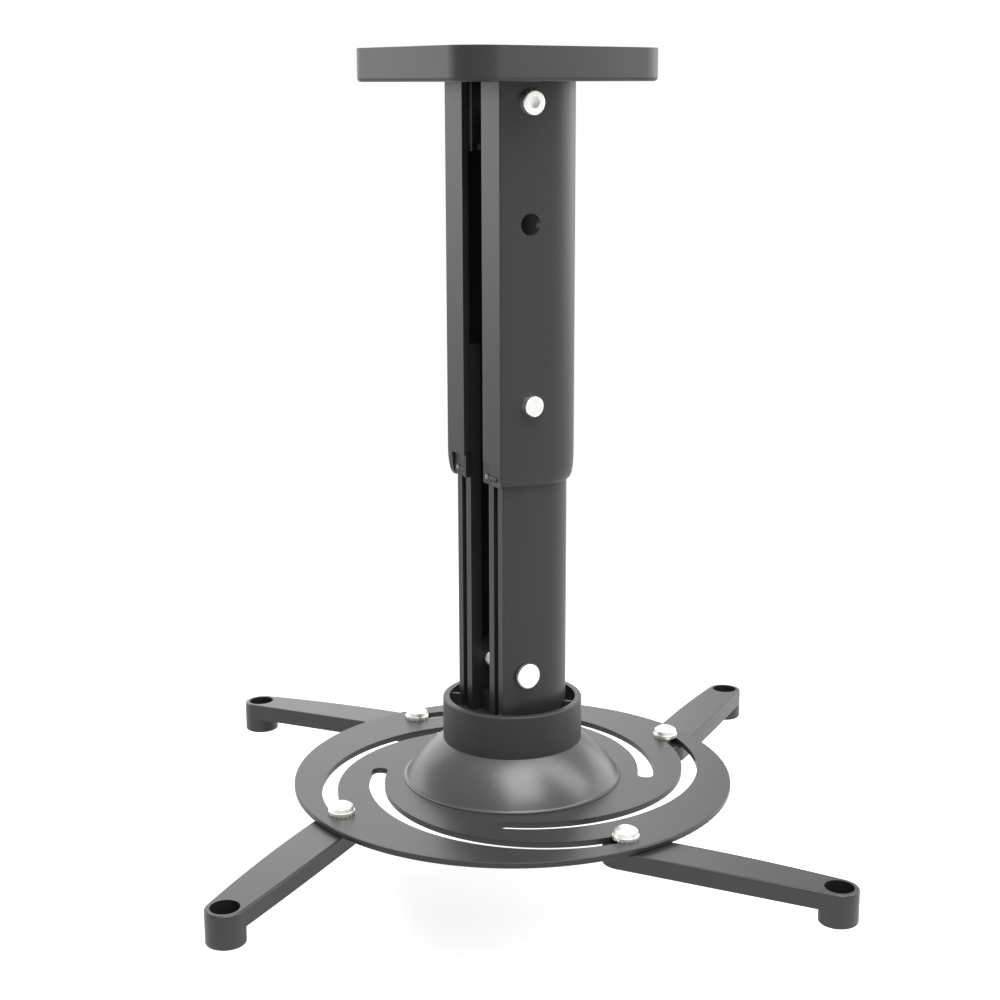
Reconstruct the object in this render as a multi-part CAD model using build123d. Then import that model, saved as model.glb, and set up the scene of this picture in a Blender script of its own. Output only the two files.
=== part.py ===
from build123d import *
import os
from math import acos, asin, atan2, cos, degrees, hypot, pi, radians, sin, sqrt

# Projector ceiling mount. Millimetres, +Z up.
# The origin is on the column's axis at the ceiling face. +X points to the rounded nose of the ceiling
# plate, and the column's cable slot faces -X. The bolts cross the column along Y, with the heads at -Y.

# Heights, all measured down from the ceiling face
COVER_HEIGHT = 13.0          # ceiling face to the underside of the cover
OUTER_LENGTH = 158.0         # outer column, from the cover down
INNER_OVERLAP = 54.7         # how far the inner column reaches up into the outer one at rest
HEIGHT_STEP = 71.0           # distance between the two index holes, and the height travel
INDEX_FROM_END = 33.1        # lower index hole above the outer column's lower end
PLATE_DROP = 300.3           # ceiling face to the top of the slotted plate at rest

# Ceiling plate and its cover, drawn from the straight base side to the rounded nose
BASE_X = -48.8               # straight base side
BASE_HALF_WIDTH = 48.2       # where the sides would meet the base without the corner rounding
BASE_CORNER_R = 12.0
SIDE_END_X = 49.5            # where a side meets the nose
SIDE_END_HALF_WIDTH = 22.5
SIDE_BOW = 1.4               # how far a side bows out from a straight line
NOSE_X = 65.6                # tip of the nose
NOSE_BLEND_R = 15.0          # rounding where a side meets the nose
COVER_WALL = 1.8
COVER_FLOOR = 2.0
COVER_LEDGE = 1.5            # width of the ledge that the steel plate lies on
COVER_EDGE_R = 1.6           # rounding of the lower outer edge
PLATE_RECESS = 1.3           # rim edge to the steel plate
PLATE_THICKNESS = 2.5
PLATE_CLEARANCE = 0.3        # between the steel plate and the rim

# Openings in the ceiling plate
CABLE_HOLE_LENGTH = 25.0     # along Y
CABLE_HOLE_WIDTH = 17.0      # along X
CABLE_HOLE_X = -30.5
SCREW_SLOT_R = 41.0          # radius of the curved slots for the ceiling screws, about the column's axis
SCREW_SLOT_ANGLE = 134.0     # middle of a slot, measured from +X
SCREW_SLOT_SWEEP = 17.0      # between the middles of its two rounded ends, in degrees
SCREW_SLOT_WIDTH = 5.6
KEYHOLE_D = 9.0              # wide end of a slot, for the head of a ceiling screw
NOSE_HOLE_X = 42.0
NOSE_HOLE_D = 6.0

# D-shaped column section
FLAT_X = -18.45              # outer face of the slotted flat side
FLAT_HALF_WIDTH = 20.6
BACK_R = 22.2                # rounded back
BACK_CENTRE_X = 3.8
EDGE_R = 0.8                 # rounding of the flat side's two long edges
OUTER_WALL = 2.6
SLIDE_GAP = 0.3              # between the two columns
INNER_WALL = 2.5
OUTER_SLOT = 14.5            # cable slot in the outer column
INNER_SLOT = 14.0            # cable slot in the inner column
LIP_DEPTH = 5.0              # depth of the inner column's lips beside the slot
LIP_END = 15.3               # half width at which a lip joins the side wall
GROOVE_MID = 12.2            # middle of the groove in a lip
GROOVE_WIDTH = 3.1
GROOVE_DEPTH = 2.8
RAIL_CLEARANCE = 0.3         # round the outer column's rail in that groove
END_TAPER = 11.0             # height of the outer column's rounded lower end
END_WALL = 0.85              # wall left at its tip
END_STEPS = 5                # sections of that end

# Bracket in the top of the outer column
BRACKET_LENGTH = 35.7        # from the underside of the steel plate
BRACKET_CLEARANCE = 0.25
BRACKET_WALL = 2.4
BRACKET_SLOT = 8.5
BRACKET_STEP = 2.9           # the lips beside the slot end this much above the bracket's foot
PORT_R = 3.4                 # outside of a screw port
PORT_BACK_X = 12.7           # the port at the rounded back
PORT_SIDE_X = -5.5           # the two ports at the sides
PORT_SIDE_Y = 14.6
PORT_SCREW_D = 4.0
PORT_SCREW_LENGTH = 12.0
PORT_SCREW_HEAD_D = 8.0
CROSS_LENGTH = 4.4           # cross recess in its head
CROSS_WIDTH = 1.0
CROSS_DEPTH = 0.8

# Cross bolts
BOLT_X = -5.2                # all cross bolts and the button
TOP_BOLT_DROP = 7.7          # below the cover
TOP_BOLT_D = 5.0
TOP_HEAD_D = 9.8
TOP_HEAD_HEIGHT = 3.5
TOP_SPOT_D = 10.8            # shallow round seat under its head
TOP_SPOT_DEPTH = 0.5
FOOT_BOLT_D = 6.0
FOOT_HEAD_D = 10.0
FOOT_BOLT_UP = 20.65         # above the floor of the collar
BARREL_D = 8.0
BARREL_HEAD_D = 10.7
BARREL_HEAD_HEIGHT = 2.0
BOLT_CLEARANCE = 0.25        # radial, in a bolt hole
SOCKET_SHARE = 0.83          # hexagon socket of a bolt, per bolt diameter
SOCKET_FLOOR = 0.4           # material under that socket, per head height
HEAD_EDGE_R = 0.9            # rounding of a bolt head's edge
NUT_BODY = 0.72              # hexagon part of a lock nut, per nut height
NUT_COLLAR = 0.43            # radius of its insert collar, per width across flats
TOP_NUT_ACROSS = 8.0
TOP_BOLT_BEYOND = 1.5        # bolt beyond its nut
BARREL_EDGE_R = 0.7

# Height button
BUTTON_D = 8.4
BUTTON_CLEARANCE = 0.1       # radial, in both columns
BUTTON_PROUD = 3.6           # beyond the outer column
BUTTON_CROWN = 1.0           # height of its rounded end
BUTTON_COLLAR_D = 9.8
BUTTON_COLLAR = 1.2
SPRING_WIDTH = 8.6
SPRING_THICKNESS = 0.6
SPRING_BEND_UP = 12.0        # bend above the button
SPRING_LEG = 26.0            # long leg below the bend

# Glide blocks at the lower end of the outer column
NOTCH_HEIGHT = 9.7
NOTCH_WIDTH = 6.7
NOTCH_MID_LEFT = 13.5        # middle of the notch in the +Y lip
NOTCH_MID_RIGHT = -8.9       # middle of the notch in the -Y lip
GLIDE_RECESS = 1.2           # block below the face of the lip
GLIDE_GAP = 0.1              # block to the inner column
GLIDE_FOOT = 0.6             # block above the column's lower end
GLIDE_SCREW_D = 2.2
GLIDE_SCREW_UP = 3.6         # screw above the lower end
GLIDE_PIN_D = 2.4
LEFT_PIN_LENGTH = 3.3        # cross pin beside the notch in the +Y lip
RIGHT_PIN_LENGTH = 4.8       # cross pin beside the notch in the -Y lip
GLIDE_SCREW_PROUD = 0.8      # screw beyond its block
GLIDE_SCREW_EDGE_R = 0.4
PIN_PLATE = 0.9              # small upright plate at the end of the left pin, inside the slot

# Ball joint, about a centre below the slotted plate
DOME_BASE_R = 45.4
BALL_R = 53.0                # outside of the dome
DOME_WALL = 2.0
BALL_GAP = 0.15              # between neighbouring ball faces
DOME_FLARE_R = 1.6           # hollow rounding where the dome meets the plate
DOME_LIP = 0.3               # edge of that flare
TILT_MAX = 15.0              # lean in any direction, in degrees
CLAMP_BOLT_D = 6.0
CLAMP_HEAD_D = 10.0
CLAMP_HEAD_HEIGHT = 6.0
FRICTION_WASHER = 1.0
PRESSURE_WASHER = 1.0
WASHER_EDGE = 33.0           # outer edge of the plastic ring, in degrees from the axis
WASHER_STEP = 1.5            # outer edge of the steel ring inside it, in degrees
WASHER_BORE_STEP = 0.7       # bore of the plastic ring beyond the hole in the dome, in degrees
DOME_HOLE_SPARE = 0.15       # hole in the dome beyond the lean and the bolt, in degrees
CUP_EDGE = 30.0
CUP_THICKNESS = 4.3
CUP_RIM = 2.4
SPRING_WASHER_D = 11.0
SPRING_WASHER_HEIGHT = 1.6
SPRING_WASHER_SPLIT = 0.8
NUT_ACROSS = 10.0
NUT_HEIGHT = 5.5
CLAMP_BOLT_END = 1.7         # bolt beyond its nut

# Collar
COLLAR_R = 29.2
COLLAR_WALL = 2.7
COLLAR_FLOOR = 3.2           # thickness over the crown of the ball seat
COLLAR_DEPTH = 6.0           # floor to the top of the ring
COLLAR_EDGE_R = 0.6
RIB_COUNT = 4
RIB_THICKNESS = 1.2
RIB_DROP = 1.0               # ribs below the rim
RIB_ANGLE = 45.0
EAR_INSIDE = 9.0             # half the space between the two ears that take the cross bolt
EAR_BACK_X = 6.0             # the ears end here
HUB_CLEARANCE = 0.25
EAR_TOP = 28.5               # above the floor of the collar
HUB_TOP = 7.0                # top of the hub between the ears, above the floor
CLAMP_SEAT = 4.0             # under the clamp bolt's head, above the floor

# Slotted plate
SLOT_PLATE_RIM = 10.6        # slot bolt to the edge of the plate
SLOT_PLATE_THICKNESS = 2.4
SLOT_PLATE_HOLE_R = 36.0
SLOT_PLATE_EDGE_R = 0.5
SLOT_COUNT = 4
SLOT_WIDTH = 6.6
STUD_RADIUS = 81.8           # slot bolts from the axis at rest
ARC_CENTRE_R = 14.25         # middle of a slot's arc, from the axis
ARC_CENTRE_ANGLE = 30.1
SLOT_SWEEP = 124.0           # travel that a slot leaves for its bolt, in degrees

# Slot bolts and cap nuts
STUD_D = 6.0
STUD_HEAD_D = 9.6
STUD_HEAD_HEIGHT = 3.2
STUD_SUNK = 0.3              # head above the arm's underside
STUD_SOCKET = 4.0            # hexagon socket in the head
STUD_SOCKET_DEPTH = 2.2
STUD_CLEARANCE = 0.08        # radial, in the arm
CAP_FLANGE_D = 10.6
CAP_FLANGE = 1.5
CAP_FOOT_D = 10.1            # cap where it leaves its flange
CAP_SHOULDER_D = 9.4         # cap where its round top starts
CAP_HEIGHT = 5.1
CAP_CROWN = 1.8              # height of its round top
CAP_BORE_DEPTH = 3.1
CAP_TEETH = 18
CAP_TOOTH = 0.42
CAP_TEETH_HEIGHT = 0.85      # teeth under the flange's smooth rim
FACE_GAP = 0.05              # between flat faces that slide on each other

# Arms
HOLE_CIRCLE = 320.0          # circle through the four boss holes
BOSS_ANGLE = 16.6            # boss ahead of its slot bolt, about the axis
ARM_HEIGHT = 7.0
ARM_HALF_WIDTH = 9.2
ARM_BOW = 0.9
ARM_DIP = 1.9                # drop of the arm's top towards the boss
ARM_FLAT = 14.0              # flat stretch under the plate, from the slot bolt
ARM_EDGE_R = 0.8
BOSS_R = 7.6
BOSS_HEIGHT = 13.5
BOSS_POCKET_D = 11.3
BOSS_FLOOR = 3.5
BOSS_HOLE_D = 4.5
BOSS_BLEND_R = 2.5

# Places that follow from the sizes above
COVER_Z = -COVER_HEIGHT
OUTER_END_Z = COVER_Z - OUTER_LENGTH
INNER_TOP_Z = OUTER_END_Z + INNER_OVERLAP
BUTTON_Z = OUTER_END_Z + INDEX_FROM_END
PLATE_TOP_Z = -PLATE_RECESS
PLATE_UNDER_Z = PLATE_TOP_Z - PLATE_THICKNESS
TOP_BOLT_Z = COVER_Z - TOP_BOLT_DROP
DISC_Z = -PLATE_DROP
BALL_Z = DISC_Z - sqrt(BALL_R ** 2 - DOME_BASE_R ** 2)
FLOOR_Z = BALL_Z + BALL_R + BALL_GAP + COLLAR_FLOOR
FOOT_BOLT_Z = FLOOR_Z + FOOT_BOLT_UP
ARM_TOP_Z = DISC_Z - SLOT_PLATE_THICKNESS - FACE_GAP
INNER_OFFSET = OUTER_WALL + SLIDE_GAP
DOME_HOLE_ANGLE = TILT_MAX + degrees(asin(CLAMP_BOLT_D / 2 / (BALL_R - DOME_WALL))) + DOME_HOLE_SPARE
SLOT_PLATE_R = STUD_RADIUS + SLOT_PLATE_RIM
ARC_CENTRE = Vector(ARC_CENTRE_R, 0).rotate(Axis.Z, ARC_CENTRE_ANGLE)
ARC_R = (Vector(STUD_RADIUS, 0) - ARC_CENTRE).length
ARC_START = degrees(atan2(-ARC_CENTRE.Y, STUD_RADIUS - ARC_CENTRE.X))


def disc(radius, z, height, x=0.0, y=0.0):
    """An upright cylinder that stands on z."""
    return Pos(x, y, z + height / 2) * Cylinder(radius, height)


def block(x0, x1, y0, y1, z0, z1):
    """A box between two corners."""
    return Pos((x0 + x1) / 2, (y0 + y1) / 2, (z0 + z1) / 2) * Box(x1 - x0, y1 - y0, z1 - z0)


def cross_rod(radius, y0, y1, z, x=BOLT_X):
    """A rod along Y."""
    return Pos(x, (y0 + y1) / 2, z) * Rot(90, 0, 0) * Cylinder(radius, y1 - y0)


def hexagon(across, height):
    """A hexagonal prism that stands on z = 0."""
    return extrude(RegularPolygon(across / 2, 6, major_radius=False), height)


def plate_outline(inset=0.0):
    """Outline of the ceiling plate, moved in by inset."""
    base = (BASE_X, BASE_HALF_WIDTH)
    end = (SIDE_END_X, SIDE_END_HALF_WIDTH)
    run = hypot(end[0] - base[0], end[1] - base[1])
    out = ((base[1] - end[1]) / run, (end[0] - base[0]) / run)
    middle = ((base[0] + end[0]) / 2 + SIDE_BOW * out[0], (base[1] + end[1]) / 2 + SIDE_BOW * out[1])
    left = ThreePointArc(base, middle, end)
    nose = ThreePointArc(end, (NOSE_X, 0), (end[0], -end[1]))
    right = ThreePointArc((end[0], -end[1]), (middle[0], -middle[1]), (base[0], -base[1]))
    back = Line((base[0], -base[1]), base)
    face = make_face([left, nose, right, back])
    face = fillet(face.vertices().sort_by(Axis.X)[-2:], NOSE_BLEND_R)
    face = fillet(face.vertices().sort_by(Axis.X)[:2], BASE_CORNER_R)
    return offset(face, -inset) if inset else face


def d_outline(inset=0.0):
    """D-shaped outline of the column, moved in by inset."""
    flat_x = FLAT_X + inset
    half = FLAT_HALF_WIDTH - inset
    radius = BACK_R - inset
    corner = (flat_x, half)
    crown = (BACK_CENTRE_X, radius)
    side = TangentArc(crown, corner, tangent=(-1, 0))
    far_side = TangentArc((crown[0], -radius), (flat_x, -half), tangent=(-1, 0))
    round_back = ThreePointArc(crown, (BACK_CENTRE_X + radius, 0), (crown[0], -radius))
    flat = Line((flat_x, -half), corner)
    face = make_face([side, round_back, far_side, flat])
    return fillet(face.vertices().sort_by(Axis.X)[:2], EDGE_R)


def ball_zone(outer_r, inner_r, inner_angle, outer_angle):
    """Ring cut from a ball shell about the joint's centre, between two angles from the upward axis."""
    def at(radius, angle):
        return (radius * sin(radians(angle)), radius * cos(radians(angle)))
    middle = (inner_angle + outer_angle) / 2
    top = ThreePointArc(at(outer_r, inner_angle), at(outer_r, middle), at(outer_r, outer_angle))
    rim = Line(at(outer_r, outer_angle), at(inner_r, outer_angle))
    under = ThreePointArc(at(inner_r, outer_angle), at(inner_r, middle), at(inner_r, inner_angle))
    bore = Line(at(inner_r, inner_angle), at(outer_r, inner_angle))
    profile = Plane.XZ * make_face([top, rim, under, bore])
    return Pos(0, 0, BALL_Z) * revolve(profile, Axis.Z)


def side_y(x, inset=0.0):
    """Half width of the column's side at x, with the outline moved in by inset."""
    run = BACK_CENTRE_X - FLAT_X - inset
    rise = BACK_R - FLAT_HALF_WIDTH
    radius = (run ** 2 + rise ** 2) / (2 * rise)
    return BACK_R - inset - radius + sqrt(radius ** 2 - (BACK_CENTRE_X - x) ** 2)


def around(shape, step):
    """A copy of a shape, turned about the axis to place number step of the four slots."""
    return Rot(0, 0, 360 / SLOT_COUNT * step) * shape


def socket_bolt(diameter, length, head_d, head_height):
    """Socket head bolt along -Z, with the underside of its head at z = 0."""
    head = disc(head_d / 2, 0, head_height)
    head = fillet(head.edges().group_by(Axis.Z)[-1], HEAD_EDGE_R)
    head -= Pos(0, 0, head_height * SOCKET_FLOOR) * hexagon(diameter * SOCKET_SHARE, head_height)
    shank = chamfer(disc(diameter / 2, -length, length).edges().group_by(Axis.Z)[0], diameter * 0.1)
    return head + shank


def lock_nut(across, bore_d, height):
    """Hexagon lock nut with a round insert collar on top, standing on z = 0."""
    body_height = height * NUT_BODY
    cone = Cone(across / 2 + height, across / 2, height, align=(Align.CENTER, Align.CENTER, Align.MIN))
    nut = hexagon(across, body_height) & cone
    nut += disc(across * NUT_COLLAR, body_height, height - body_height)
    return nut - disc(bore_d / 2, 0, height)


def ceiling_plate():
    """Flat steel plate that is screwed to the ceiling."""
    inset = COVER_WALL + PLATE_CLEARANCE
    plate = Pos(0, 0, PLATE_UNDER_Z) * extrude(plate_outline(inset), PLATE_THICKNESS)
    cable = Rot(0, 0, 90) * SlotOverall(CABLE_HOLE_LENGTH, CABLE_HOLE_WIDTH)
    plate -= Pos(CABLE_HOLE_X, 0, PLATE_UNDER_Z) * extrude(cable, PLATE_THICKNESS)
    for sign in (1, -1):
        start = sign * SCREW_SLOT_ANGLE - SCREW_SLOT_SWEEP / 2
        path = CenterArc((0, 0), SCREW_SLOT_R, start, SCREW_SLOT_SWEEP)
        plate -= Pos(0, 0, PLATE_UNDER_Z) * extrude(SlotArc(path, SCREW_SLOT_WIDTH), PLATE_THICKNESS)
        wide_end = radians(sign * (SCREW_SLOT_ANGLE - SCREW_SLOT_SWEEP / 2))
        x, y = SCREW_SLOT_R * cos(wide_end), SCREW_SLOT_R * sin(wide_end)
        plate -= disc(KEYHOLE_D / 2, PLATE_UNDER_Z, PLATE_THICKNESS, x, y)
    plate -= disc(NOSE_HOLE_D / 2, PLATE_UNDER_Z, PLATE_THICKNESS, NOSE_HOLE_X)
    for x, y in port_places():
        plate -= Pos(x, y, 0) * countersunk(PORT_SCREW_D + 2 * BOLT_CLEARANCE)
    return plate


def port_places():
    """The three screws that hold the bracket, as x and y."""
    return [(PORT_BACK_X, 0), (PORT_SIDE_X, PORT_SIDE_Y), (PORT_SIDE_X, -PORT_SIDE_Y)]


def countersunk(shank_d):
    """Countersunk head and shank of a bracket screw, with its top flush with the steel plate."""
    head_height = (PORT_SCREW_HEAD_D - PORT_SCREW_D) / 2
    cone = Cone(shank_d / 2, PORT_SCREW_HEAD_D / 2, head_height)
    head = Pos(0, 0, PLATE_TOP_Z - head_height / 2) * cone
    return head + disc(shank_d / 2, PLATE_TOP_Z - PORT_SCREW_LENGTH, PORT_SCREW_LENGTH - head_height)


def bracket_screws():
    """Three countersunk screws, each with a cross recess."""
    screws = []
    for x, y in port_places():
        screw = countersunk(PORT_SCREW_D)
        for turn in (0, 90):
            recess = Box(CROSS_LENGTH, CROSS_WIDTH, 2 * CROSS_DEPTH)
            screw -= Pos(0, 0, PLATE_TOP_Z) * Rot(0, 0, turn) * recess
        screws.append(Pos(x, y, 0) * screw)
    return Compound(children=screws)


def plate_cover():
    """Moulded cover: an open tray with a ledge inside its rim and an opening for the column."""
    shell = Pos(0, 0, COVER_Z) * extrude(plate_outline(), COVER_HEIGHT)
    shell = fillet(shell.edges().group_by(Axis.Z)[0], COVER_EDGE_R)
    above = Pos(0, 0, PLATE_UNDER_Z) * extrude(plate_outline(COVER_WALL), COVER_HEIGHT)
    pocket_floor = COVER_Z + COVER_FLOOR
    below = Pos(0, 0, pocket_floor) * extrude(plate_outline(COVER_WALL + COVER_LEDGE), COVER_HEIGHT)
    shell = shell - above - below
    bracket_hole = extrude(d_outline(OUTER_WALL), COVER_FLOOR)
    return shell - Pos(0, 0, COVER_Z) * bracket_hole


def column_bracket():
    """Extruded stub inside the top of the outer column, with three screw ports."""
    outside = d_outline(OUTER_WALL + BRACKET_CLEARANCE)
    inside = d_outline(OUTER_WALL + BRACKET_CLEARANCE + BRACKET_WALL)
    section = outside - inside
    slot = Pos(FLAT_X + OUTER_WALL, 0) * Rectangle(4 * BRACKET_WALL, BRACKET_SLOT)
    section -= slot
    lip_x = FLAT_X + OUTER_WALL + BRACKET_CLEARANCE
    for sign in (1, -1):
        lip = Pos(lip_x + LIP_DEPTH / 2, sign * (BRACKET_SLOT + BRACKET_WALL) / 2)
        section += lip * Rectangle(LIP_DEPTH, BRACKET_WALL)
    for x, y in port_places():
        section += (Pos(x, y) * Circle(PORT_R)) & outside
        reach = Pos((x + BACK_CENTRE_X + BACK_R - INNER_OFFSET) / 2, 0)
        if y == 0:
            section += (reach * Rectangle(BACK_CENTRE_X + BACK_R - INNER_OFFSET - x, PORT_R)) & outside
    foot = PLATE_UNDER_Z - BRACKET_LENGTH
    stub = Pos(0, 0, foot) * extrude(section, BRACKET_LENGTH)
    lip_half = BRACKET_SLOT / 2 + BRACKET_WALL
    stub -= block(lip_x + BRACKET_WALL, lip_x + LIP_DEPTH, -lip_half, lip_half, foot, foot + BRACKET_STEP)
    for x, y in port_places():
        port_depth = PORT_SCREW_LENGTH - PLATE_THICKNESS
        stub -= disc(PORT_SCREW_D / 2, PLATE_UNDER_Z - port_depth, port_depth, x, y)
    return stub - cross_rod(TOP_BOLT_D / 2 + BOLT_CLEARANCE, -BACK_R, BACK_R, TOP_BOLT_Z)


def top_seat_y():
    """Seat of the top bolt's head, sunk in the outer column's side."""
    return TOP_SPOT_DEPTH - side_y(BOLT_X)


def top_bolt():
    """Socket head bolt across the top of the column."""
    length = side_y(BOLT_X + TOP_HEAD_D / 2) - top_seat_y() + TOP_BOLT_D + TOP_BOLT_BEYOND
    bolt = socket_bolt(TOP_BOLT_D, length, TOP_HEAD_D, TOP_HEAD_HEIGHT)
    return Pos(BOLT_X, top_seat_y(), TOP_BOLT_Z) * Rot(90, 0, 0) * bolt


def top_bolt_nut():
    """Lock nut on the far side of the column."""
    nut = lock_nut(TOP_NUT_ACROSS, TOP_BOLT_D, TOP_BOLT_D)
    return Pos(BOLT_X, side_y(BOLT_X + TOP_HEAD_D / 2), TOP_BOLT_Z) * Rot(-90, 0, 0) * nut


def lower_taper():
    """Solid outer shape of the outer column's rounded lower end."""
    deepest = OUTER_WALL - END_WALL
    sections = []
    for i in range(END_STEPS + 1):
        share = i / END_STEPS
        inset = deepest * (1 - sqrt(1 - share ** 2))
        sections.append(Pos(0, 0, OUTER_END_Z + END_TAPER * (1 - share)) * d_outline(inset))
    return loft(sections)


def outer_column():
    """Slotted outer column with its two index holes, guide rails and rounded lower end."""
    upper = Pos(0, 0, OUTER_END_Z + END_TAPER) * extrude(d_outline(), OUTER_LENGTH - END_TAPER)
    tube = upper + lower_taper()
    tube -= Pos(0, 0, OUTER_END_Z) * extrude(d_outline(OUTER_WALL), OUTER_LENGTH)
    slot_half = OUTER_SLOT / 2
    tube -= block(FLAT_X - 1, FLAT_X + OUTER_WALL + 1, -slot_half, slot_half, OUTER_END_Z, COVER_Z)
    rail_top = COVER_Z - BRACKET_LENGTH
    rail_depth = GROOVE_DEPTH + SLIDE_GAP - RAIL_CLEARANCE
    rail_half = GROOVE_WIDTH / 2 - RAIL_CLEARANCE
    inside_x = FLAT_X + OUTER_WALL
    for sign in (1, -1):
        mid = sign * GROOVE_MID
        tube += block(inside_x - 0.5, inside_x + rail_depth, mid - rail_half, mid + rail_half,
                      OUTER_END_Z, rail_top)
    for z in (BUTTON_Z, BUTTON_Z + HEIGHT_STEP):
        tube -= cross_rod(BUTTON_D / 2 + BUTTON_CLEARANCE, -BACK_R - 1, 0, z)
    tube -= cross_rod(TOP_BOLT_D / 2 + BOLT_CLEARANCE, -BACK_R - 1, BACK_R + 1, TOP_BOLT_Z)
    tube -= cross_rod(TOP_SPOT_D / 2, -BACK_R - 1, top_seat_y(), TOP_BOLT_Z)
    low = OUTER_END_Z + GLIDE_SCREW_UP - GLIDE_PIN_D / 2
    high = low + GLIDE_PIN_D
    for mid, pin_length in ((NOTCH_MID_LEFT, LEFT_PIN_LENGTH), (NOTCH_MID_RIGHT, RIGHT_PIN_LENGTH)):
        tube -= notch(mid)
        start = mid - NOTCH_WIDTH / 2
        tube -= block(FLAT_X - 1, FLAT_X + GLIDE_PIN_D, start - pin_length, start, low, high)
    return tube


def notch(mid):
    """Cut for a glide block in the lower end of a lip."""
    half = NOTCH_WIDTH / 2
    back = FLAT_X + INNER_OFFSET + GROOVE_DEPTH
    return block(FLAT_X - 1, back, mid - half, mid + half, OUTER_END_Z - 1, OUTER_END_Z + NOTCH_HEIGHT)


def glide_block(mid, pin_length):
    """Plastic glide block in a notch, with a cross pin in the groove beside it."""
    low = mid - NOTCH_WIDTH / 2
    front = FLAT_X + GLIDE_RECESS
    back = FLAT_X + INNER_OFFSET - GLIDE_GAP
    high = low + NOTCH_WIDTH
    body = block(front, back, low, high, OUTER_END_Z + GLIDE_FOOT, OUTER_END_Z + NOTCH_HEIGHT)
    screw_z = OUTER_END_Z + GLIDE_SCREW_UP
    body += cross_rod(GLIDE_PIN_D / 2, low - pin_length, low + 1, screw_z, FLAT_X + GLIDE_PIN_D / 2)
    hole = Pos(front, mid, screw_z) * Rot(0, 90, 0) * Cylinder(GLIDE_SCREW_D / 2, 2 * (back - front))
    return body - hole


def glide_pads():
    """The two glide blocks, the left one with a small upright plate in the column's slot."""
    left = glide_block(NOTCH_MID_LEFT, LEFT_PIN_LENGTH)
    pin_end = NOTCH_MID_LEFT - NOTCH_WIDTH / 2 - LEFT_PIN_LENGTH
    back = FLAT_X + INNER_OFFSET - GLIDE_GAP
    foot = OUTER_END_Z + GLIDE_FOOT
    left += block(FLAT_X, back, pin_end - PIN_PLATE, pin_end, foot, OUTER_END_Z + NOTCH_HEIGHT)
    return Compound(children=[left, glide_block(NOTCH_MID_RIGHT, RIGHT_PIN_LENGTH)])


def glide_screws():
    """The tiny screws in the glide blocks."""
    screws = []
    front = FLAT_X + GLIDE_RECESS
    depth = INNER_OFFSET - GLIDE_GAP - GLIDE_RECESS
    for mid in (NOTCH_MID_LEFT, NOTCH_MID_RIGHT):
        length = depth + GLIDE_SCREW_PROUD
        rod = Cylinder(GLIDE_SCREW_D / 2, length, align=(Align.CENTER, Align.CENTER, Align.MIN))
        rod = Rot(0, 90, 0) * fillet(rod.edges().group_by(Axis.Z)[0], GLIDE_SCREW_EDGE_R)
        screws.append(Pos(front - GLIDE_SCREW_PROUD, mid, OUTER_END_Z + GLIDE_SCREW_UP) * rod)
    return Compound(children=screws)


def inner_section():
    """Section of the inner column, with a grooved lip each side of the slot."""
    section = d_outline(INNER_OFFSET) - d_outline(INNER_OFFSET + INNER_WALL)
    lip_x = FLAT_X + INNER_OFFSET
    for sign in (1, -1):
        width = LIP_END - INNER_SLOT / 2
        place = Pos(lip_x + LIP_DEPTH / 2, sign * (LIP_END + INNER_SLOT / 2) / 2)
        section += (place * Rectangle(LIP_DEPTH, width)) & d_outline(INNER_OFFSET)
        section -= Pos(lip_x + GROOVE_DEPTH / 2, sign * GROOVE_MID) * Rectangle(GROOVE_DEPTH, GROOVE_WIDTH)
    return section - Pos(lip_x, 0) * Rectangle(2 * LIP_DEPTH, INNER_SLOT)


def inner_column():
    """Slotted inner column that slides in the outer one and stands in the collar."""
    height = INNER_TOP_Z - FLOOR_Z
    tube = Pos(0, 0, FLOOR_Z) * extrude(inner_section(), height)
    tube -= cross_rod(BUTTON_D / 2 + BUTTON_CLEARANCE, -BACK_R, 0, BUTTON_Z)
    tube -= cross_rod(BARREL_D / 2 + BOLT_CLEARANCE, -BACK_R, 0, FOOT_BOLT_Z)
    return tube - cross_rod(FOOT_BOLT_D / 2 + BOLT_CLEARANCE, 0, BACK_R, FOOT_BOLT_Z)


def button_shoulder_y():
    """Shoulder of the height button, just inside the inner column's wall."""
    return BUTTON_CLEARANCE - side_y(BOLT_X - BUTTON_COLLAR_D / 2, INNER_OFFSET + INNER_WALL)


def height_button():
    """Round button that locks the height, standing out through both columns."""
    shoulder_y = button_shoulder_y()
    tip_y = -side_y(BOLT_X) - BUTTON_PROUD
    length = shoulder_y - tip_y
    pin = Cylinder(BUTTON_D / 2, length, align=(Align.CENTER, Align.CENTER, Align.MIN))
    pin = fillet(pin.edges().group_by(Axis.Z)[-1], BUTTON_CROWN)
    pin += disc(BUTTON_COLLAR_D / 2, -BUTTON_COLLAR, BUTTON_COLLAR)
    return Pos(BOLT_X, shoulder_y, BUTTON_Z) * Rot(90, 0, 0) * pin


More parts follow.
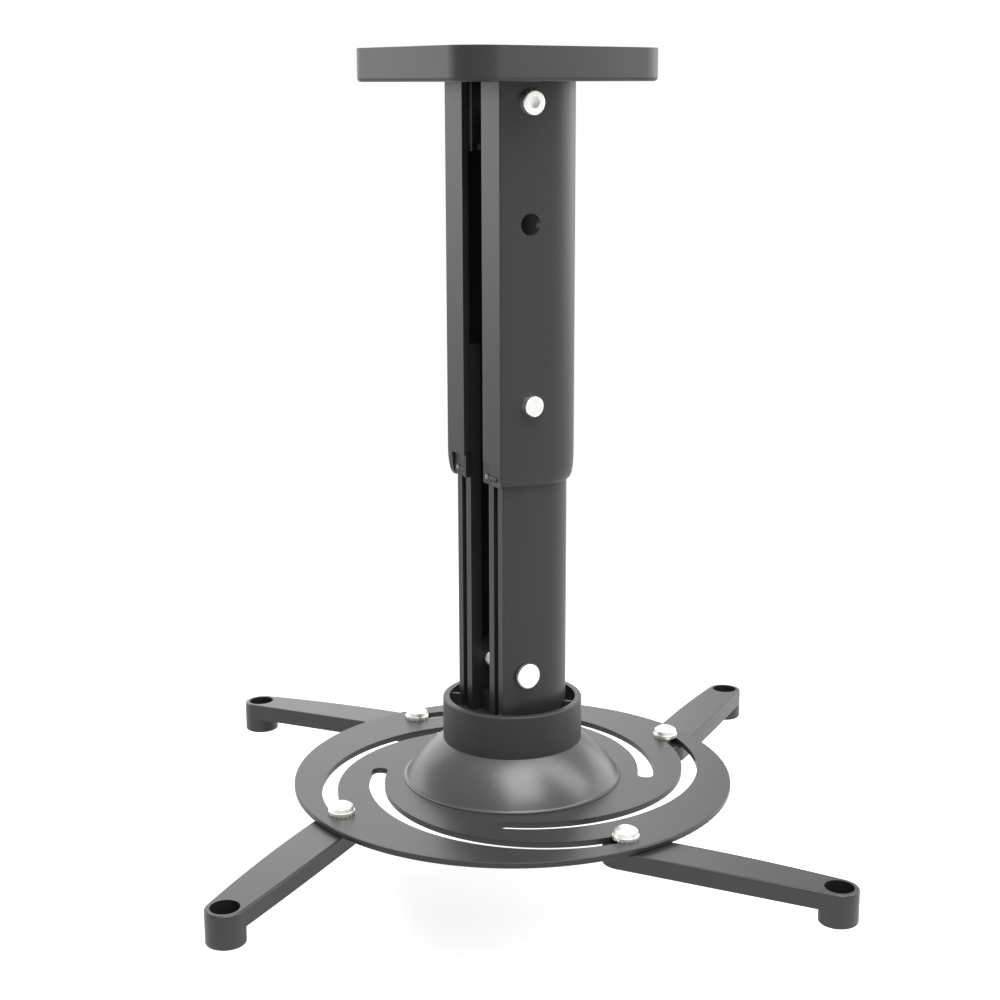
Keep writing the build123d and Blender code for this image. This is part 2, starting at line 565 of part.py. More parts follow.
def height_spring():
    """Bent leaf spring inside the inner column, behind the button."""
    near_y = button_shoulder_y() + BUTTON_COLLAR + SPRING_THICKNESS / 2
    inside = side_y(BOLT_X - SPRING_WIDTH / 2, INNER_OFFSET + INNER_WALL)
    far_y = inside - BUTTON_CLEARANCE - SPRING_THICKNESS / 2
    bend_z = BUTTON_Z + SPRING_BEND_UP
    radius = (far_y - near_y) / 2
    near_leg = Line((near_y, BUTTON_Z - BUTTON_COLLAR_D / 2), (near_y, bend_z - radius))
    far_leg = Line((far_y, bend_z - radius), (far_y, BUTTON_Z - SPRING_LEG))
    bend = ThreePointArc(near_leg @ 1, ((near_y + far_y) / 2, bend_z), far_leg @ 0)
    strip = Plane.YZ * make_face(offset(near_leg + bend + far_leg, SPRING_THICKNESS / 2).edges())
    return Pos(BOLT_X - SPRING_WIDTH / 2, 0, 0) * extrude(strip, SPRING_WIDTH, dir=(1, 0, 0))


def foot_head_y():
    """Where the heads of the bolt and its nut rest on the inner column's rounded sides."""
    return side_y(BOLT_X + BARREL_HEAD_D / 2, INNER_OFFSET)


def bottom_bolt():
    """Bolt across the foot of the inner column, from the far side."""
    side = foot_head_y()
    bolt = socket_bolt(FOOT_BOLT_D, 2 * side, FOOT_HEAD_D, FOOT_BOLT_D)
    return Pos(BOLT_X, side, FOOT_BOLT_Z) * Rot(-90, 0, 0) * bolt


def bottom_bolt_nut():
    """Barrel nut on the bolt, with a smooth round head."""
    side = foot_head_y()
    head = Cylinder(BARREL_HEAD_D / 2, BARREL_HEAD_HEIGHT, align=(Align.CENTER, Align.CENTER, Align.MIN))
    head = fillet(head.edges().group_by(Axis.Z)[-1], BARREL_EDGE_R)
    sleeve = INNER_WALL + HUB_CLEARANCE
    nut = head + disc(BARREL_D / 2, -sleeve, sleeve)
    nut -= disc(FOOT_BOLT_D / 2, -sleeve, sleeve + 0.1)
    return Pos(BOLT_X, -side, FOOT_BOLT_Z) * Rot(90, 0, 0) * nut


def collar():
    """Cast collar: ring, floor with a ball seat, ribs, and a hub with two ears inside the column."""
    ring_inside = COLLAR_R - COLLAR_WALL
    body = disc(COLLAR_R, DISC_Z, FLOOR_Z + COLLAR_DEPTH - DISC_Z)
    body = fillet(body.edges().group_by(Axis.Z)[-1], COLLAR_EDGE_R)
    body -= Pos(0, 0, BALL_Z) * Sphere(BALL_R + BALL_GAP)
    body -= disc(ring_inside, FLOOR_Z, COLLAR_DEPTH)
    hub_x0 = FLAT_X + INNER_OFFSET + LIP_DEPTH + HUB_CLEARANCE
    hub_x1 = BACK_CENTRE_X + BACK_R - INNER_OFFSET - INNER_WALL - HUB_CLEARANCE
    cavity = d_outline(INNER_OFFSET + INNER_WALL + HUB_CLEARANCE)
    hub = extrude(cavity, EAR_TOP) & block(hub_x0, hub_x1, -BACK_R, BACK_R, 0, EAR_TOP)
    hub -= block(hub_x0, hub_x1, -EAR_INSIDE, EAR_INSIDE, HUB_TOP, EAR_TOP)
    hub -= block(EAR_BACK_X, hub_x1, -BACK_R, BACK_R, HUB_TOP, EAR_TOP)
    body += Pos(0, 0, FLOOR_Z) * hub
    column = Pos(0, 0, FLOOR_Z) * extrude(d_outline(INNER_OFFSET - HUB_CLEARANCE), COLLAR_DEPTH)
    rib_half = RIB_THICKNESS / 2
    rib = block(0, ring_inside + 0.5, -rib_half, rib_half, FLOOR_Z, FLOOR_Z + COLLAR_DEPTH - RIB_DROP)
    for i in range(RIB_COUNT):
        body += (Rot(0, 0, RIB_ANGLE + 360 / RIB_COUNT * i) * rib) - column
    body -= disc(CLAMP_BOLT_D / 2 + BOLT_CLEARANCE, DISC_Z, PLATE_DROP)
    body -= disc(CLAMP_HEAD_D / 2 + BOLT_CLEARANCE, FLOOR_Z + CLAMP_SEAT, EAR_TOP)
    return body - cross_rod(FOOT_BOLT_D / 2 + BOLT_CLEARANCE, -BACK_R, BACK_R, FOOT_BOLT_Z)


def ball_stack():
    """Ball radii below the dome: friction washer, pressure washer and cup, each as outside and inside."""
    friction = BALL_R - DOME_WALL - BALL_GAP
    pressure = friction - FRICTION_WASHER - BALL_GAP
    cup = pressure - PRESSURE_WASHER - BALL_GAP
    return friction, pressure, cup


def cup_under_z():
    """Underside of the cup."""
    return BALL_Z + ball_stack()[2] - CUP_THICKNESS


def clamp_bolt():
    """Bolt down the axis, from the hub to below the cup."""
    seat_z = FLOOR_Z + CLAMP_SEAT
    end_z = cup_under_z() - SPRING_WASHER_HEIGHT - NUT_HEIGHT - CLAMP_BOLT_END
    bolt = socket_bolt(CLAMP_BOLT_D, seat_z - end_z, CLAMP_HEAD_D, CLAMP_HEAD_HEIGHT)
    return Pos(0, 0, seat_z) * bolt


def clamp_cup():
    """Spherical cup washer that draws the dome up against the collar."""
    radius = ball_stack()[2]
    edge = (radius * sin(radians(CUP_EDGE)), radius * cos(radians(CUP_EDGE)))
    bore = CLAMP_BOLT_D / 2 + BOLT_CLEARANCE
    top = (bore, sqrt(radius ** 2 - bore ** 2))
    half = radians(CUP_EDGE / 2)
    under = radius - CUP_THICKNESS
    dish = ThreePointArc(top, (radius * sin(half), radius * cos(half)), edge)
    rest = Polyline(edge, (edge[0], edge[1] - CUP_RIM), (SPRING_WASHER_D * 0.8, under), (bore, under), top)
    profile = Plane.XZ * make_face([dish] + rest.edges())
    return Pos(0, 0, BALL_Z) * revolve(profile, Axis.Z)


def clamp_spring_washer():
    """Split spring washer under the nut."""
    ring = disc(SPRING_WASHER_D / 2, 0, SPRING_WASHER_HEIGHT)
    ring -= disc(CLAMP_BOLT_D / 2 + BOLT_CLEARANCE, 0, SPRING_WASHER_HEIGHT)
    split = Box(SPRING_WASHER_D, SPRING_WASHER_SPLIT, 4 * SPRING_WASHER_HEIGHT)
    ring -= Pos(SPRING_WASHER_D / 2, 0, SPRING_WASHER_HEIGHT / 2) * Rot(30, 0, 0) * split
    return Pos(0, 0, cup_under_z() - SPRING_WASHER_HEIGHT) * ring


def clamp_nut():
    """Lock nut of the ball joint."""
    nut = lock_nut(NUT_ACROSS, CLAMP_BOLT_D, NUT_HEIGHT)
    return Pos(0, 0, cup_under_z() - SPRING_WASHER_HEIGHT) * Rot(180, 0, 0) * nut


def friction_washer():
    """Plastic ring under the dome, which leans with it."""
    friction = ball_stack()[0]
    return ball_zone(friction, friction - FRICTION_WASHER, DOME_HOLE_ANGLE + WASHER_BORE_STEP, WASHER_EDGE)


def pressure_washer():
    """Steel ring between the plastic ring and the cup."""
    pressure = ball_stack()[1]
    return ball_zone(pressure, pressure - PRESSURE_WASHER, DOME_HOLE_ANGLE / 2, WASHER_EDGE - WASHER_STEP)


def dome():
    """Pressed steel dome that flares out at its foot."""
    inner_r = BALL_R - DOME_WALL
    hole = radians(DOME_HOLE_ANGLE)
    drop = DISC_Z - BALL_Z
    flare_z = drop + DOME_LIP + DOME_FLARE_R
    flare_x = sqrt((BALL_R + DOME_FLARE_R) ** 2 - flare_z ** 2)
    share = BALL_R / (BALL_R + DOME_FLARE_R)
    foot = (flare_x * share, flare_z * share)
    turn = (atan2(flare_z, flare_x) + pi + 3 * pi / 2) / 2
    flare = (flare_x + DOME_FLARE_R * cos(turn), flare_z + DOME_FLARE_R * sin(turn))
    foot_in = (sqrt(inner_r ** 2 - drop ** 2), drop)
    middle = (hole + acos(drop / BALL_R)) / 2
    top_out = (BALL_R * sin(hole), BALL_R * cos(hole))
    top_in = (inner_r * sin(hole), inner_r * cos(hole))
    outside = ThreePointArc(top_out, (BALL_R * sin(middle), BALL_R * cos(middle)), foot)
    rounding = ThreePointArc(foot, flare, (flare_x, drop + DOME_LIP))
    under = Polyline((flare_x, drop + DOME_LIP), (flare_x, drop), foot_in)
    inside = ThreePointArc(foot_in, (inner_r * sin(middle), inner_r * cos(middle)), top_in)
    profile = make_face([outside, rounding] + under.edges() + [inside, Line(top_in, top_out)])
    return Pos(0, 0, BALL_Z) * revolve(Plane.XZ * profile, Axis.Z)


def slot_plate():
    """Round plate with four curved slots and a hole under the dome."""
    under = DISC_Z - SLOT_PLATE_THICKNESS
    plate = disc(SLOT_PLATE_R, under, SLOT_PLATE_THICKNESS)
    plate = fillet(plate.edges().filter_by(GeomType.CIRCLE), SLOT_PLATE_EDGE_R)
    plate -= disc(SLOT_PLATE_HOLE_R, under, SLOT_PLATE_THICKNESS)
    path = CenterArc((ARC_CENTRE.X, ARC_CENTRE.Y), ARC_R, ARC_START - SLOT_SWEEP, SLOT_SWEEP)
    cut = Pos(0, 0, under) * extrude(SlotArc(path, SLOT_WIDTH), SLOT_PLATE_THICKNESS)
    for i in range(SLOT_COUNT):
        plate -= around(cut, i)
    return plate


def slot_bolt():
    """Bolt that holds an arm under a slot, with its head sunk in the arm."""
    head_under = ARM_TOP_Z - ARM_HEIGHT + STUD_SUNK
    length = DISC_Z + CAP_BORE_DEPTH - FACE_GAP - head_under
    bolt = disc(STUD_D / 2, head_under, length, STUD_RADIUS)
    bolt += disc(STUD_HEAD_D / 2, head_under, STUD_HEAD_HEIGHT, STUD_RADIUS)
    return bolt - Pos(STUD_RADIUS, 0, head_under) * hexagon(STUD_SOCKET, STUD_SOCKET_DEPTH)


def cap_nut():
    """Domed cap nut with a toothed flange, on top of the slotted plate."""
    foot, shoulder, bore = CAP_FOOT_D / 2, CAP_SHOULDER_D / 2, STUD_D / 2
    rim = CAP_FLANGE_D / 2
    side = CAP_HEIGHT - CAP_CROWN
    ball_r = (shoulder ** 2 + CAP_CROWN ** 2) / (2 * CAP_CROWN)
    half = asin(shoulder / ball_r) / 2
    start = (bore, FACE_GAP)
    lower = Polyline(start, (rim, FACE_GAP), (rim, CAP_FLANGE), (foot, CAP_FLANGE), (shoulder, side))
    middle = (ball_r * sin(half), CAP_HEIGHT - ball_r * (1 - cos(half)))
    crown = ThreePointArc((shoulder, side), middle, (0, CAP_HEIGHT))
    bore_line = Polyline((0, CAP_HEIGHT), (0, CAP_BORE_DEPTH), (bore, CAP_BORE_DEPTH), start)
    nut = revolve(Plane.XZ * make_face(lower.edges() + crown.edges() + bore_line.edges()), Axis.Z)
    for i in range(CAP_TEETH):
        tooth = Pos(rim, 0, 0) * Box(2 * CAP_TOOTH, 2.4 * CAP_TOOTH, 2 * CAP_TEETH_HEIGHT)
        nut -= Rot(0, 0, 360 / CAP_TEETH * i) * tooth
    return Pos(STUD_RADIUS, 0, DISC_Z) * nut


def arm():
    """Arm from a slot bolt to a boss for the projector's screw, with the slot bolt at the origin."""
    length = arm_length()
    near = (0, ARM_HALF_WIDTH)
    far = (length, BOSS_R)
    bow = ((near[0] + far[0]) / 2, (near[1] + far[1]) / 2 + ARM_BOW)
    plan = make_face([
        ThreePointArc(near, bow, far),
        ThreePointArc(far, (length + BOSS_R, 0), (length, -BOSS_R)),
        ThreePointArc((length, -BOSS_R), (bow[0], -bow[1]), (0, -ARM_HALF_WIDTH)),
        ThreePointArc((0, -ARM_HALF_WIDTH), (-ARM_HALF_WIDTH, 0), near),
    ])
    end = length + BOSS_R
    sag_x = (ARM_FLAT + end) / 2
    sag = ARM_DIP * 0.3
    side = make_face([
        Line((-ARM_HALF_WIDTH, 0), (ARM_FLAT, 0)),
        ThreePointArc((ARM_FLAT, 0), (sag_x, -sag), (end, -ARM_DIP)),
        Line((end, -ARM_DIP), (end, -ARM_DIP - ARM_HEIGHT)),
        ThreePointArc((end, -ARM_DIP - ARM_HEIGHT), (sag_x, -sag - ARM_HEIGHT), (ARM_FLAT, -ARM_HEIGHT)),
        Line((ARM_FLAT, -ARM_HEIGHT), (-ARM_HALF_WIDTH, -ARM_HEIGHT)),
        Line((-ARM_HALF_WIDTH, -ARM_HEIGHT), (-ARM_HALF_WIDTH, 0)),
    ])
    slab = extrude(Plane.XZ * side, 2 * ARM_HALF_WIDTH + 2 * ARM_BOW, both=True)
    body = slab & (Pos(0, 0, -2 * ARM_HEIGHT) * extrude(plan, 2 * ARM_HEIGHT))
    top_edges = body.edges().filter_by(lambda e: e.center().Z > -ARM_DIP - 0.2 and e.length > 1)
    body = fillet(top_edges, ARM_EDGE_R)
    boss_low = -ARM_DIP - BOSS_HEIGHT
    boss = disc(BOSS_R, boss_low, BOSS_HEIGHT - ARM_HEIGHT / 2, length)
    boss = fillet(boss.edges().group_by(Axis.Z)[0], ARM_EDGE_R)
    body += boss
    body -= disc(BOSS_POCKET_D / 2, boss_low + BOSS_FLOOR, BOSS_HEIGHT, length)
    body -= disc(BOSS_HOLE_D / 2, boss_low, BOSS_FLOOR, length)
    body -= disc(STUD_D / 2 + STUD_CLEARANCE, -ARM_HEIGHT, ARM_HEIGHT)
    body -= disc(STUD_HEAD_D / 2 + BOLT_CLEARANCE, -ARM_HEIGHT, STUD_SUNK + STUD_HEAD_HEIGHT + FACE_GAP)
    return body


def boss_place():
    """The first arm's boss hole, as x and y."""
    angle = radians(BOSS_ANGLE)
    return HOLE_CIRCLE / 2 * cos(angle), HOLE_CIRCLE / 2 * sin(angle)


def arm_length():
    """Slot bolt to boss hole."""
    x, y = boss_place()
    return hypot(x - STUD_RADIUS, y)


def placed_arm():
    """The first arm in place under the slotted plate."""
    x, y = boss_place()
    heading = degrees(atan2(y, x - STUD_RADIUS))
    return Pos(STUD_RADIUS, 0, ARM_TOP_Z) * Rot(0, 0, heading) * arm()


def build():
    """All nodes by name."""
    nodes = {
        "ceiling_plate": ceiling_plate(),
        "plate_cover": plate_cover(),
        "column_bracket": column_bracket(),
        "bracket_screws": bracket_screws(),
        "top_bolt": top_bolt(),
        "top_bolt_nut": top_bolt_nut(),
        "outer_column": outer_column(),
        "glide_pads": glide_pads(),
        "glide_screws": glide_screws(),
        "inner_column": inner_column(),
        "height_button": height_button(),
        "height_spring": height_spring(),
        "bottom_bolt": bottom_bolt(),
        "bottom_bolt_nut": bottom_bolt_nut(),
        "collar": collar(),
        "clamp_bolt": clamp_bolt(),
        "clamp_cup": clamp_cup(),
        "clamp_spring_washer": clamp_spring_washer(),
        "clamp_nut": clamp_nut(),
        "friction_washer": friction_washer(),
        "pressure_washer": pressure_washer(),
        "dome": dome(),
        "slot_plate": slot_plate(),
    }
    stud, nut, limb = slot_bolt(), cap_nut(), placed_arm()
    for i in range(SLOT_COUNT):
        nodes[f"slot_bolt_{i + 1}"] = around(stud, i)
        nodes[f"cap_nut_{i + 1}"] = around(nut, i)
        nodes[f"arm_{i + 1}"] = around(limb, i)
    return nodes


os.makedirs("parts", exist_ok=True)
for name, shape in build().items():
    export_step(shape, f"parts/{name}.step")
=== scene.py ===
# %% [markdown]
# # A projector ceiling mount
# The mount is already modelled as solids, in metres, with +Z up and the ceiling face at z = 0.
# This notebook dresses those solids: it sets up a camera, gives every piece the finish of the real
# material, adds the small parts that solids leave out, and lights the whole like a catalogue picture.

# %% Load the mount
import math

import bpy
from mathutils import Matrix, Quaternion, Vector


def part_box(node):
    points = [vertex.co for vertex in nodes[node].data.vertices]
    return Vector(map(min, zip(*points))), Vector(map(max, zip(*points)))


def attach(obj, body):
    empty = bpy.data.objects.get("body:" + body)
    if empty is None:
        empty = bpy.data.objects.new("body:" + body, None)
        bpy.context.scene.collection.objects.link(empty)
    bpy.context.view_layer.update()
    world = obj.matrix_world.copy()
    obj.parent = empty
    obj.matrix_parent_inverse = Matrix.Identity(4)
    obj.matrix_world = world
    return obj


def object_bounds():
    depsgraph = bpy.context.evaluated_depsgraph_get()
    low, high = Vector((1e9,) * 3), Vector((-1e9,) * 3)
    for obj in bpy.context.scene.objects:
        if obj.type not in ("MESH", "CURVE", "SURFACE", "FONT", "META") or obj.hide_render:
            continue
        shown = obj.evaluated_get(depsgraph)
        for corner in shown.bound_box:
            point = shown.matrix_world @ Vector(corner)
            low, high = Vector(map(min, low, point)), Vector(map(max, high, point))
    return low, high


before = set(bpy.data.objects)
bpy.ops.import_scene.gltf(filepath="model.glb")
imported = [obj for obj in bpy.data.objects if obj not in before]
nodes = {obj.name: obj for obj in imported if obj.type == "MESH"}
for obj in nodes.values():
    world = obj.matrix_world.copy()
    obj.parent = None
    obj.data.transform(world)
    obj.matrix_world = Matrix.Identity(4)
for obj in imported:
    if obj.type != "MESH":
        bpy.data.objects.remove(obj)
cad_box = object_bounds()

print(len(nodes), "pieces, box", [[round(v, 4) for v in corner] for corner in cad_box])

# %% [markdown]
# ## Camera
# A product picture of a tall, thin thing is taken with a longish lens, so that upright edges stay
# nearly parallel. Here the lens is 65 mm on a 36 mm sensor. The camera stands at about the height of
# the ceiling face and is tilted down by 13 degrees. It could be aimed with a Track To constraint. A
# direction vector turned into a rotation does the same and leaves nothing live in the scene.

# %% Camera
IMAGE_SIZE = 1000                 # pixels, both ways
FOCAL_PIXELS = 1817.8
SENSOR_MM = 36.0
TILT_DOWN = math.radians(12.996)
ROLL = 0.00298
HEADING = Vector((0.5345, 0.8451, 0.0))
CAMERA_PLACE = (-0.3942, -0.6141, -0.01256)

camera_data = bpy.data.cameras.new("camera")
camera_data.sensor_width = SENSOR_MM
camera_data.lens = FOCAL_PIXELS / IMAGE_SIZE * camera_data.sensor_width
camera_data.clip_start = 0.01
camera = bpy.data.objects.new("camera", camera_data)
bpy.context.collection.objects.link(camera)
look = HEADING.normalized() * math.cos(TILT_DOWN) - Vector((0.0, 0.0, math.sin(TILT_DOWN)))
roll = Quaternion(look, ROLL)
camera.rotation_mode = "QUATERNION"
camera.rotation_quaternion = roll @ look.to_track_quat("-Z", "Y")
camera.location = CAMERA_PLACE
bpy.context.scene.camera = camera
print("lens", round(camera_data.lens, 2), "mm")

# %% [markdown]
# ## Helpers for materials
# Colours are picked as hex values from a colour chart, which are sRGB. Blender's nodes calculate with
# linear light, so one function turns the first into the second. A second one adds a node, sets its
# values and makes its links, so that each material below reads as a short recipe.

# %% Colour and node helpers
def linear(hex_colour):
    """sRGB hex to linear RGBA."""
    channels = [int(hex_colour[i:i + 2], 16) / 255 for i in (1, 3, 5)]
    return [c / 12.92 if c <= 0.04045 else ((c + 0.055) / 1.055) ** 2.4 for c in channels] + [1.0]


def add(tree, kind, links=None, **settings):
    """Adds a node. Settings are its properties or input values, links run from outputs to its inputs."""
    node = tree.nodes.new(kind)
    sockets = {socket.name.lower().replace(" ", "_"): socket for socket in reversed(node.inputs)}
    for name, value in settings.items():
        if name in sockets:
            sockets[name].default_value = value
        else:
            setattr(node, name, value)
    for socket, output in (links or {}).items():
        tree.links.new(output, node.inputs[socket])
    return node


def new_material(name):
    """A material with an empty node tree."""
    material = bpy.data.materials.new(name)
    material.use_nodes = True
    material.node_tree.nodes.clear()
    return material, material.node_tree


def mottled(tree, colour, noise, depth, low=0.3, high=0.7):
    """The colour, up to depth darker and lighter from place to place as the noise goes."""
    shade = add(tree, "ShaderNodeMapRange", {"Value": noise.outputs["Fac"]}, from_min=low, from_max=high,
                to_min=1 - depth, to_max=1 + depth)
    tint = add(tree, "ShaderNodeMix", data_type="RGBA", blend_type="MULTIPLY")
    tint.inputs["Factor"].default_value = 1.0
    tint.inputs[6].default_value = linear(colour)
    tree.links.new(shade.outputs["Result"], tint.inputs[7])
    return tint.outputs[2]


print("hex #808080 is", round(linear("#808080")[0], 3), "in linear light")

# %% [markdown]
# ## Powder coat
# Most of the mount is sprayed with dry powder and baked. The skin is a plastic film about 0.1 mm thick
# with a faint orange peel: low waves 1 to 2 mm long, and a fine grain on top. Light from a lamp spreads
# over it in a soft patch. The film is a dielectric, so metallic is 0 and the IOR about 1.5. A plain
# roughness would give an even sheen. A slow noise on the colour and a fine one on the bump keep it alive.

# %% Powder coat
CLOUD_MM = 12.0                   # slow cloudiness of the colour
WAVE_MM = 1.6                     # orange peel
GRAIN_MM = 0.35                   # powder grain, drawn coarser than the real 0.05 mm so that it shows


def powder_coat(name, colour, roughness, shine=0.36, peel=0.25, streak=1.0):
    """Baked powder coat. streak above 1 stretches the cloudiness upwards, as on an extrusion."""
    material, tree = new_material(name)
    place = add(tree, "ShaderNodeTexCoord")
    stretch = add(tree, "ShaderNodeMapping", {"Vector": place.outputs["Object"]})
    stretch.inputs["Scale"].default_value = (1.0, 1.0, 1.0 / streak)
    cloud = add(tree, "ShaderNodeTexNoise", {"Vector": stretch.outputs["Vector"]},
                scale=1000 / CLOUD_MM, detail=4.0)
    tint = mottled(tree, colour, cloud, 0.06)
    peel_wave = add(tree, "ShaderNodeTexNoise", {"Vector": place.outputs["Object"]},
                    scale=1000 / WAVE_MM, detail=1.0)
    grain = add(tree, "ShaderNodeTexNoise", {"Vector": place.outputs["Object"]},
                scale=1000 / GRAIN_MM, detail=2.0)
    both = add(tree, "ShaderNodeMath", {0: peel_wave.outputs["Fac"], 1: grain.outputs["Fac"]},
               operation="ADD")
    bump = add(tree, "ShaderNodeBump", {"Height": both.outputs["Value"]}, strength=peel, distance=0.00004)
    gloss = add(tree, "ShaderNodeMapRange", {"Value": grain.outputs["Fac"]}, from_min=0.3, from_max=0.7,
                to_min=roughness - 0.04, to_max=roughness + 0.05)
    skin = add(tree, "ShaderNodeBsdfPrincipled",
               {"Base Color": tint, "Normal": bump.outputs["Normal"], "Roughness": gloss.outputs["Result"]},
               ior=1.5, specular_ior_level=shine)
    add(tree, "ShaderNodeOutputMaterial", {"Surface": skin.outputs["BSDF"]})
    return material


column_coat = powder_coat("powder-coated aluminium extrusion", "#2f2f2e", 0.37, shine=0.4, streak=14.0)
plate_coat = powder_coat("powder-coated sheet steel", "#343433", 0.34)
dome_coat = powder_coat("satin powder-coated steel pressing", "#393938", 0.3, shine=0.62, peel=0.15)
arm_coat = powder_coat("powder-coated aluminium die casting", "#252524", 0.34, shine=0.6)
collar_coat = powder_coat("powder-coated aluminium sand casting", "#353534", 0.42, peel=0.35)
print("powder coats:", column_coat.name, plate_coat.name, dome_coat.name, arm_coat.name, collar_coat.name)

# %% [markdown]
# ## Moulded cover
# The ceiling cover is ABS, moulded against a finely spark-eroded tool. That leaves a matt grain of
# rounded pits about 0.3 mm apart. A Voronoi pattern gives pits with soft rims. Noise alone would look
# like dirt.

# %% ABS cover
GRAIN_PITCH_MM = 0.45             # a little coarser than the real 0.3 mm so that it shows
FLOW_MM = 20.0                    # faint patches from the way the plastic flowed

cover_abs, tree = new_material("moulded ABS with eroded grain")
place = add(tree, "ShaderNodeTexCoord")
pits = add(tree, "ShaderNodeTexVoronoi", {"Vector": place.outputs["Object"]}, scale=1000 / GRAIN_PITCH_MM)
cloud = add(tree, "ShaderNodeTexNoise", {"Vector": place.outputs["Object"]},
            scale=1000 / FLOW_MM, detail=3.0)
tint = mottled(tree, "#2d2d2c", cloud, 0.05)
bump = add(tree, "ShaderNodeBump", {"Height": pits.outputs["Distance"]}, strength=0.2, distance=0.00003)
skin = add(tree, "ShaderNodeBsdfPrincipled", {"Base Color": tint, "Normal": bump.outputs["Normal"]},
           roughness=0.4, ior=1.53, specular_ior_level=0.3)
add(tree, "ShaderNodeOutputMaterial", {"Surface": skin.outputs["BSDF"]})
print("cover grain every", GRAIN_PITCH_MM, "mm")

# %% [markdown]
# ## Bare and plated metal
# The bolts and nuts are steel with a few thousandths of a millimetre of bright zinc. The button and the
# nut at the foot are nickel-plated and shinier. Plating settles in small patches that differ a little in
# gloss. A picture of scratches could be used, but it would slide on small turned parts. So all the metals
# share one recipe: metallic 1, with a noise on the roughness and a very low bump.

# %% Plated and plain metals
def metal(name, colour, roughness, patch_mm, wear=0.08):
    """Metal with patches of differing gloss."""
    material, tree = new_material(name)
    place = add(tree, "ShaderNodeTexCoord")
    patch = add(tree, "ShaderNodeTexNoise", {"Vector": place.outputs["Object"]},
                scale=1000 / patch_mm, detail=3.0)
    gloss = add(tree, "ShaderNodeMapRange", {"Value": patch.outputs["Fac"]}, from_min=0.3, from_max=0.7,
                to_min=roughness - wear, to_max=roughness + wear)
    tint = mottled(tree, colour, patch, 0.04)
    bump = add(tree, "ShaderNodeBump", {"Height": patch.outputs["Fac"]}, strength=0.1, distance=0.00002)
    skin = add(tree, "ShaderNodeBsdfPrincipled",
               {"Base Color": tint, "Roughness": gloss.outputs["Result"], "Normal": bump.outputs["Normal"]},
               metallic=1.0)
    add(tree, "ShaderNodeOutputMaterial", {"Surface": skin.outputs["BSDF"]})
    return material


bright_zinc = metal("bright zinc-plated steel", "#f6f6f3", 0.42, 1.2, wear=0.04)
nickel = metal("nickel-plated steel", "#f6f5f2", 0.32, 1.5, wear=0.04)
dull_zinc = metal("dull zinc-plated steel", "#c4c4bf", 0.42, 0.8)
spring_steel = metal("blued spring steel", "#8a8b8d", 0.35, 2.0)
blued_steel = metal("blued steel screw", "#77787b", 0.4, 0.6)
mill_aluminium = metal("mill-finish aluminium", "#55555a", 0.5, 3.0)
print("metals:", bright_zinc.name, nickel.name, dull_zinc.name, spring_steel.name, mill_aluminium.name)

# %% [markdown]
# ## Nylon
# The glide blocks and the friction ring are black nylon, coloured right through with carbon black. It is
# darker than the paint beside it and waxy, with a broad, weak shine. Nylon could be given some subsurface
# scattering, but with this much carbon black hardly any light gets in, so the plain surface is enough.

# %% Nylon
WAXY_MM = 3.0                     # waxy patches
nylon, tree = new_material("black moulded nylon")
place = add(tree, "ShaderNodeTexCoord")
cloud = add(tree, "ShaderNodeTexNoise", {"Vector": place.outputs["Object"]},
            scale=1000 / WAXY_MM, detail=3.0)
tint = mottled(tree, "#1f1f20", cloud, 0.15, low=0.0, high=1.0)
bump = add(tree, "ShaderNodeBump", {"Height": cloud.outputs["Fac"]}, strength=0.1, distance=0.00003)
skin = add(tree, "ShaderNodeBsdfPrincipled", {"Base Color": tint, "Normal": bump.outputs["Normal"]},
           roughness=0.45, ior=1.53, specular_ior_level=0.35)
add(tree, "ShaderNodeOutputMaterial", {"Surface": skin.outputs["BSDF"]})
print("nylon parts:", nylon.name)

# %% [markdown]
# ## Which piece is made of what
# The solids keep their shapes. Each only swaps what is in its material slots. A table of names is easier
# to read and to change than a line of code for each piece.

# %% Give each solid its material
finish = {
    "plate_cover": cover_abs, "ceiling_plate": plate_coat, "slot_plate": plate_coat,
    "outer_column": column_coat, "inner_column": column_coat, "column_bracket": mill_aluminium,
    "bracket_screws": dull_zinc, "top_bolt": bright_zinc, "top_bolt_nut": bright_zinc,
    "glide_pads": nylon, "glide_screws": blued_steel,
    "height_button": nickel, "height_spring": spring_steel,
    "bottom_bolt": bright_zinc, "bottom_bolt_nut": nickel,
    "collar": collar_coat, "dome": dome_coat, "pressure_washer": spring_steel, "friction_washer": nylon,
    "clamp_bolt": bright_zinc, "clamp_cup": dull_zinc, "clamp_spring_washer": dull_zinc,
    "clamp_nut": bright_zinc,
}
for k in range(1, 5):
    finish[f"slot_bolt_{k}"] = dull_zinc
    finish[f"cap_nut_{k}"] = bright_zinc
    finish[f"arm_{k}"] = arm_coat
for name, solid in nodes.items():
    for slot in solid.material_slots:
        slot.material = finish[name]
print("dressed", len(nodes), "solids in", len(set(finish.values())), "materials")

# %% [markdown]
# ## Threads
# The bolts are solids with plain shanks, the size of the thread's crests. A real M6 bolt has a ridge that
# climbs 1 mm a turn, an M5 one 0.8 mm. The ridge could be drawn as a bump on the material, but where a
# shank crosses a gap it shows in outline. So a flat diamond is wound round the shank by a Screw modifier.
# Half of it lies inside the steel, and the other half stands out as the ridge. The real ridge is deeper. It
# is kept low here, because the solid shank already has the size of the crests.

# %% One thread
RIDGE = 0.00018                   # how far the ridge stands out
RIDGE_SHARE = 0.3                 # half the ridge's width, per pitch
TURN_STEPS = 32
SHARP_ANGLE = math.radians(50)    # steeper edges than this stay crisp


